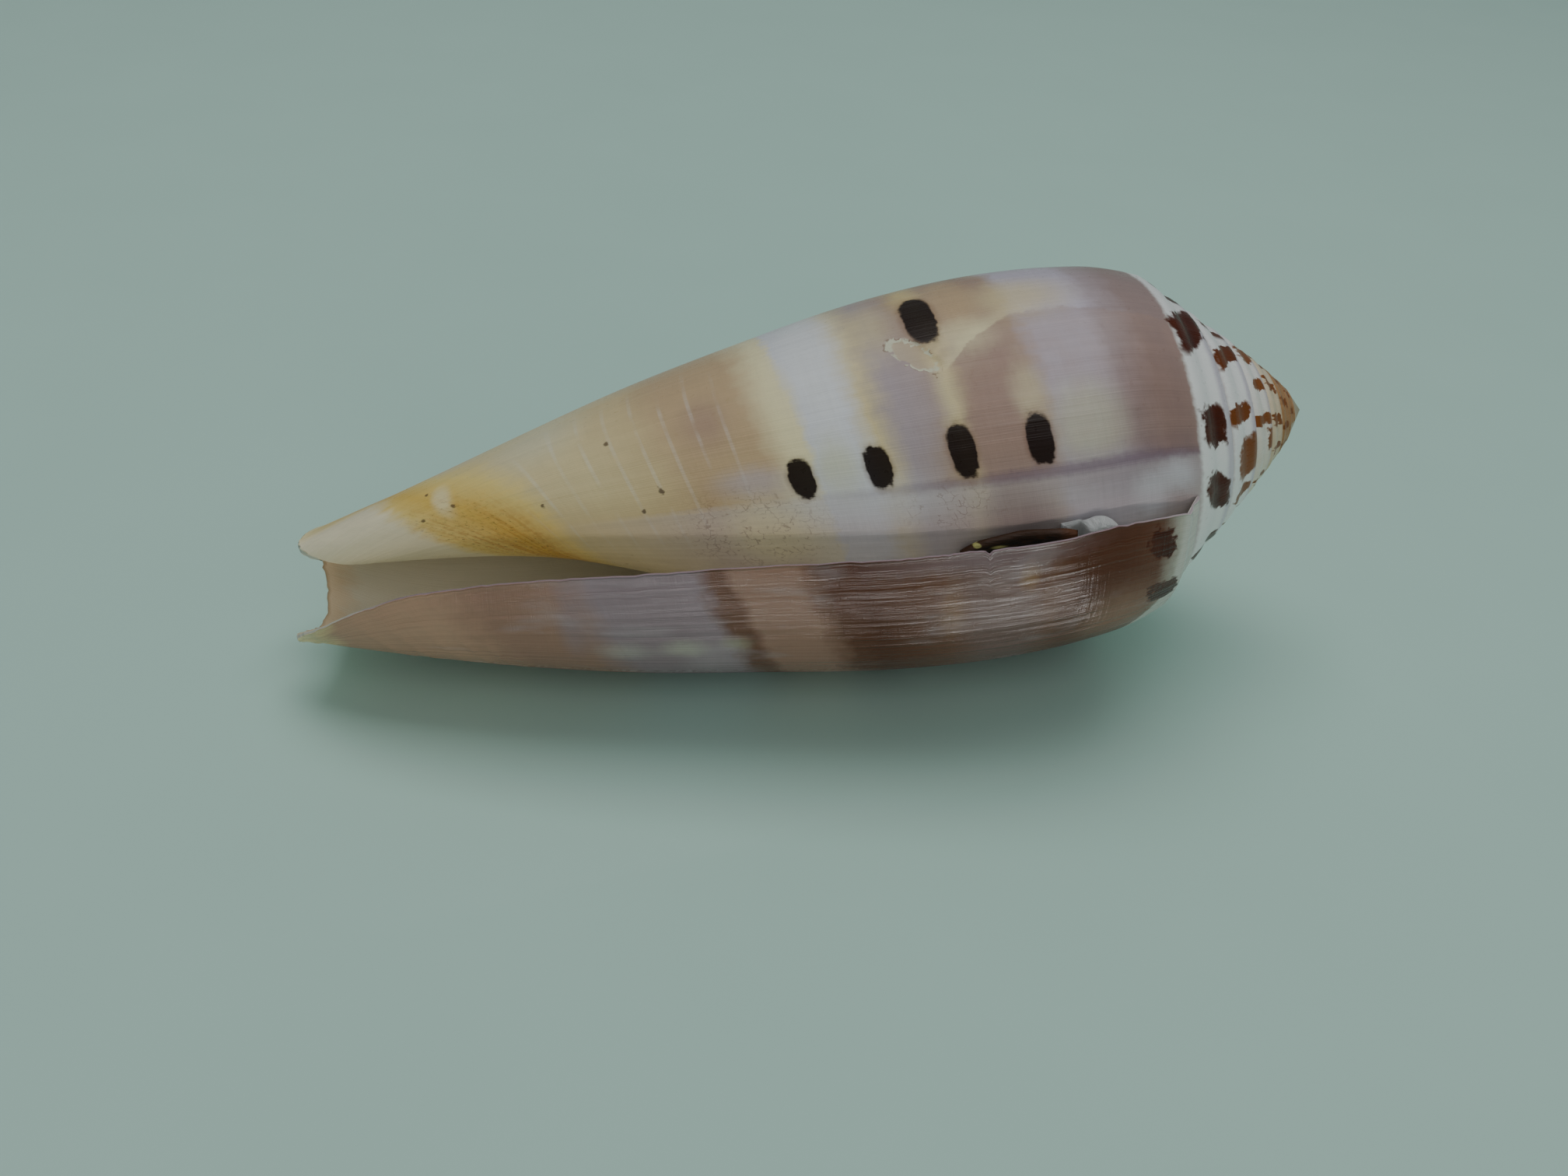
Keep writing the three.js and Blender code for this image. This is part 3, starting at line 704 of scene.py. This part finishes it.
def shell_material():
    m = material("shell")
    g, s, v, inside = value("g"), value("s"), value("v"), value("inside")
    q = v * 5.0 + s * 60.0                   # place across ramp and side in mm
    in_mm = vec(g * 0.25, q)
    blur = cloud(in_mm, 0.55, 2) - 0.5
    ripple = cloud(in_mm, 1.9, 2) - 0.5
    lines = cloud(vec(g * 0.55, s * 2.2, v), 1.0, 2, 0.6)
    fine = cloud(vec(g * 2.4, s * 3.0, v * 2), 1.0, 2, 0.6)
    run = s - level(s, LEANING) * (g + 330.0)
    threads = cloud(vec(g * 0.02, run * 130.0), 1.0, 2, 0.6)
    spirals = cloud(vec(g * 0.06, run * 270.0), 1.0, 2, 0.6)
    gw, sw = g + ripple * 3.0 + blur * 3.0 + (fine - 0.5) * 1.6, s + ripple * 0.0045 + blur * 0.006
    warped = vec(gw, sw)

    # Bands, which drift towards the base as the shell grows
    drift = level(g, DRIFT)
    share = calc("MINIMUM", s / 0.45, 1.0) * step(s, 1.0, 0.7)
    uneven = blur * 0.024 + ripple * 0.008 + (lines - 0.5) * 0.008
    front = bands(run - drift * share + uneven, FRONT)
    back = bands(s + (BACK_DRIFT - drift) * share + uneven, BACK)
    for *where, colour, part in FRONT_PATCHES:
        front = mix(front, colour, oval(warped, *where) * part)
    for *where, colour, part in LIP_PATCHES:
        back = mix(back, colour, oval(warped, *where) * part)
    body = mix(front, back, step(g + blur * 30, -285, -215))

    # Front: a rosy field up to the scar's curved line, a pale strip past it, and pale threads
    past_hook = g - level(s, HOOK)
    field = step(g + blur * 3, -347, -341) * step(past_hook + ripple * 3, 0.8, -0.8)
    body = mix(body, ROSE, field * step(s, 0.275, 0.255) * (0.35 + blur * 0.5))
    strip = step(past_hook + ripple * 2, -0.3, 0.5) * step(past_hook, 6, 1)
    body = mix(body, CREAM, strip * step(s, 0.14, 0.23) * step(s, 0.275, 0.262) * 0.5)
    from_thread = calc("ABSOLUTE", ((run - 0.510) / 0.0302 % 1.0) - 0.5)
    threading = step(from_thread, 0.40, 0.47) * within(s, 0.5, 0.74, 0.04)
    broken = step(cloud(vec(g * 0.06, run * 40), 1.0, 2), 0.32, 0.60)
    body = mix(body, WHITE, threading * broken * within(g, -358, -290, 30) * (0.05 + lines * 0.3))

    # Base end: gold and orange mottling that follows the fold, then its cream glaze
    streaks = step(threads + ripple * 0.5, 0.42, 0.66)
    mustard = within(run + blur * 0.04, 0.760, 0.868, 0.05) * step(g, -250, -300)
    mustard = mustard * step(g + blur * 24, -292, -352)
    body = mix(body, ORANGE, mustard * (0.2 + 0.75 * streaks) * 0.65)
    speckle = step(cloud(vec(g * 0.5, run * 230), 1.0, 4, 0.75), 0.54, 0.68)
    speckle = speckle * within(run, 0.775, 0.885, 0.03) * step(g, -292, -335)
    body = mix(body, SPECK, speckle * 0.75)
    glaze = step(s + blur * 0.03 - (g + 372) * 0.0008, 0.822, 0.850) * step(g, -255, -275)
    body = mix(body, mix(CREAM, PEARL, 0.3), glaze * 0.9)

    # Callus before the growth line left of the aperture, crazed in places
    callus = step(g + (lines - 0.5) * 2.4 + ripple * 1.5, -344.2, -347.0) * step(s, 0.78, 0.52)
    body = mix(body, ASH, callus * 0.6)
    for *where, colour, part in CALLUS_PATCHES:
        body = mix(body, colour, oval(warped, *where) * part)
    growth_line = oval(vec(g + ripple * 1.5, s), -345.4, 0.17, 1.6, 0.20, 0.8)
    body = mix(body, PLUM, growth_line * 0.55)
    craze = node("TexVoronoi", {"Vector": vec(gw * 0.3, sw * 60), "Scale": 1.5}, 0,
                 feature="DISTANCE_TO_EDGE")
    crazed = most(oval(warped, -356, 0.52, 16, 0.075, 0.6), oval(warped, -352, 0.30, 6, 0.05, 0.6))
    crazed = crazed * step(blur + ripple, -0.1, 0.1)
    body = mix(body, COCOA, step(craze, 0.08, 0.0) * crazed * 0.5)

    # Scar: a ragged flake with a pale rim
    g0, s0, wide, high, slope = FLAKE
    flake = node("VectorMath", {0: vec((g - g0) / wide + ripple * 0.9,
                                       (s - s0 - slope * (g - g0)) / high - ripple * 1.3)}, 1,
                 operation="LENGTH")
    body = mix(body, BEIGE, step(flake, 1.05, 0.9) * 0.35)
    body = mix(body, CELERY, within(flake, 0.88, 1.16, 0.14) * step(blur + ripple, -0.12, 0.06) * 0.9)
    body = mix(body, COCOA, within(flake, 1.14, 1.24, 0.08) * step(blur + ripple, -0.02, 0.12) * 0.6)

    # Growth lines over everything
    tone = 0.86 + lines * 0.15 + fine * 0.08 + (threads - 0.5) * 0.06 + spirals * 0.05 + blur * 0.10
    body = node("HueSaturation", {"Saturation": 1.06, "Value": tone, "Color": body})
    pale = step(cloud(vec(g * 0.08, s * 9, v), 1.0, 3), 0.54, 0.72)
    body = mix(body, LILAC, pale * 0.3 * step(g, -290, -200) * step(s, 0.9, 0.8))

    # Shoulder, ramps and apex
    top = step(s - level(g, BRIM) + ripple * 0.006, 0.004, -0.004)
    white = mix(WHITE, LAVENDER, step(v, 0.36, 0.22) * 0.8)
    white = mix(white, BONE, step(g, -190, -60) * 0.75)
    white = mix(white, SAND, step(g + blur * 90, -960, -1200) * 0.75)
    white = mix(white, HONEY, step(g + blur * 160, -1330, -1750) * 0.9)
    body = mix(body, white, top)

    # Blotches, paler on the spire, and the spots on the side
    gb, qb = g + blur * 9 + ripple * 5.0, q + blur * 2.4 + ripple * 1.2
    blot = join([patch(gb + (q - q0) * skew, qb, g0, q0, wg, wq, 0.5)
                 for g0, q0, wg, wq, skew in BLOTCHES])
    unseen = most(within(g, -282, -95, 6), step(g, -382, -392) * (1 - within(g, -735, -650, 4)) *
                  (1 - within(g, -1090, -1000, 4)))
    cell = (g + blur * 20 - ROW_START) / ROW_STEP % 1.0
    blot = most(blot, patch(cell, qb, 0.5, ROW_AT, *ROW_SIZE, 0.35) * unseen)
    body = mix(body, mix(UMBER, AMBER, step(g, -620, -740)), blot)
    body = mix(body, SEPIA, step(blot, 0.7, 1.0) * (0.45 + blur * 1.6) * step(g, -700, -420))
    halo = join([oval(warped, a, b, wg * 1.12, ws * 1.25, 0.25) for a, b, wg, ws in SIDE_SPOTS])
    body = mix(body, COCOA, halo * 0.45)
    spots = join([(oval(warped, *spot, 0.22) + patch(gw, sw, *spot, 0.55)) * 0.5
                  for spot in SIDE_SPOTS])
    body = mix(body, SPOT, step(spots, 0.08, 0.80) * 0.96)
    body = mix(body, DOT, join([oval(warped, *at, *DOT_SIZE, 0.4) for at in DOTS]) * 0.8)

    # Inside and rims
    hollow = mix(IVORY, PEARL, step(s, 0.75, 0.35) * 0.4)
    hollow = mix(hollow, APRICOT, step(s + blur * 0.03, 0.955, 0.99) * 0.7)
    rim = mix(mix(LILAC, MIST, step(s, 0.02, 0.10)), BONE, step(s, 0.86, 0.96))
    colour = mix(body, rim, step(inside, 0.02, 0.25))
    colour = mix(colour, hollow, step(inside, 0.5, 0.98))

    # The lip is glossier, with a coarser weave of growth lines and spirals
    lip = step(g, -60, -45)
    rough = 0.29 + ripple * 0.10 - lip * 0.14
    weave = fine * (0.5 + lip * 0.3) + lines * (0.5 + lip * 1.2) + spirals * (0.15 + lip * 0.5)
    finish_material(colour, rough, weave, 0.06, sheen=0.0, shine=0.18)
    return m


def operculum_material():
    m = material("operculum")
    u, t, across = value("s"), value("g"), value("v")
    grain = cloud(vec(u * 1.2, t * 1.6), 1.0, 4, 0.6)
    flow = cloud(vec(u * 0.5, t * 3.0), 1.0, 3, 0.6)
    colour = mix(HORN_DARK, HORN, step(grain, 0.45, 0.7))
    colour = mix(colour, HORN_RIM, step(across + (flow - 0.5) * 0.2, 0.14, 0.02) * 0.8)
    colour = mix(colour, HORN_TIP, step(u + (grain - 0.5) * 0.8, 23.6, 22.6) * 0.6)
    at = vec(t, u)
    # Painted highlight: a yellow-green glint painted onto the plate's left end
    painted_glint = most(oval(at, -4.4, 28.6, 0.6, 0.25, 0.3), oval(at, -5.4, 27.2, 0.4, 0.4, 0.8))
    colour = mix(colour, PAINTED_GLINT, painted_glint * (0.2 + grain))
    finish_material(colour, 0.42 + grain * 0.2, grain, 0.12, sheen=0.0, shine=0.3)
    return m


def cotton_material():
    m = material("cotton")
    fluff = cloud(vec(value("s") * 5, value("g") * 1.6), 1.0, 5, 0.75, 1.5)
    finish_material(mix(COTTON_SHADE, COTTON, fluff), 0.95, fluff, 0.35, sheen=0.8, shine=0.2)
    return m


def floor_material():
    m = material("floor")
    grain = cloud(node("TexCoord", {}, 3), 60, 2)
    finish_material(mix(FLOOR_SHADE, FLOOR, grain), 0.9, grain, 0.01, sheen=0.0, shine=0.2)
    return m


for piece, stands_for, finish, look in (
        (shell_piece(), "shell", "shell", shell_material()),
        (operculum_piece(), "operculum", "operculum", operculum_material()),
        (cotton_piece(), "cotton_plug", "cotton", cotton_material())):
    piece.data.materials.append(look)
    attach(piece, "root")
    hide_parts(stands_for)

# Camera, as the photo was taken
CAMERA_AT = Vector((-58.19476, -97.36876, 53.80902)) + Vector(SHIFT)
RIGHT = Vector((0.98618974, -0.15365022, 0.06181756))
UP = Vector((0.03734238, 0.56992688, 0.82084645))
camera_data = bpy.data.cameras.new("camera")
camera = bpy.data.objects.new("camera", camera_data)
bpy.context.scene.collection.objects.link(camera)
camera_data.sensor_width = 36
camera_data.lens = 36.025
camera_data.clip_start, camera_data.clip_end = 0.005, 20
camera.matrix_world = Matrix.Translation(CAMERA_AT * MM) @ Matrix(
    (RIGHT, UP, RIGHT.cross(UP))).transposed().to_4x4()
bpy.context.scene.camera = camera

# Floor
bpy.ops.mesh.primitive_plane_add(size=4, location=(0, 0, 0))
floor = bpy.context.object
floor.name = "floor"
floor.data.materials.append(floor_material())

# Soft studio light
WORLD_COLOUR, WORLD_STRENGTH = (0.86, 0.95, 1.0, 1), 0.20
world = bpy.data.worlds.new("world")
bpy.context.scene.world = world
world.use_nodes = True
background = world.node_tree.nodes["Background"]
background.inputs[0].default_value = WORLD_COLOUR
background.inputs[1].default_value = WORLD_STRENGTH


def area_light(name, at, to, size, watts):
    """A soft light in metres and watts, which shines from one point towards another."""
    data = bpy.data.lights.new(name, "AREA")
    data.shape = "RECTANGLE"
    data.size, data.size_y = size
    data.energy = watts
    ob = bpy.data.objects.new(name, data)
    bpy.context.scene.collection.objects.link(ob)
    ob.location = at
    ob.rotation_euler = (Vector(to) - Vector(at)).to_track_quat("-Z", "Y").to_euler()
    return ob


area_light("top", (0.02, 0.06, 0.50), (0, 0, 0), (0.45, 0.30), 0.95)
front = area_light("front", (0.02, -0.34, 0.36), (0, 0, 0.01), (0.40, 0.25), 0.22)
front.visible_glossy = False
# Warm light that the glass under the shell would throw up
bounce = area_light("bounce", (0.0, -0.30, 0.05), (0, 0, 0.010), (0.30, 0.03), 0.014)
bounce.visible_glossy = False
bounce.data.spread = float(np.radians(40))
bounce.data.color = (1.0, 0.86, 0.78)
# The lamp in the shell's gloss, and a low card in place of its image in the glass
lamp = area_light("lamp", (0.03, -0.28, 0.42), (0, 0, 0.01), (0.10, 0.02), 0.30)
lamp.visible_diffuse = False
card = area_light("card", (-0.0035, -0.0235, 0.0018), (-0.0055, -0.0150, 0.011), (0.055, 0.0022),
                  0.0048)
card.visible_camera = False
card.visible_diffuse = False
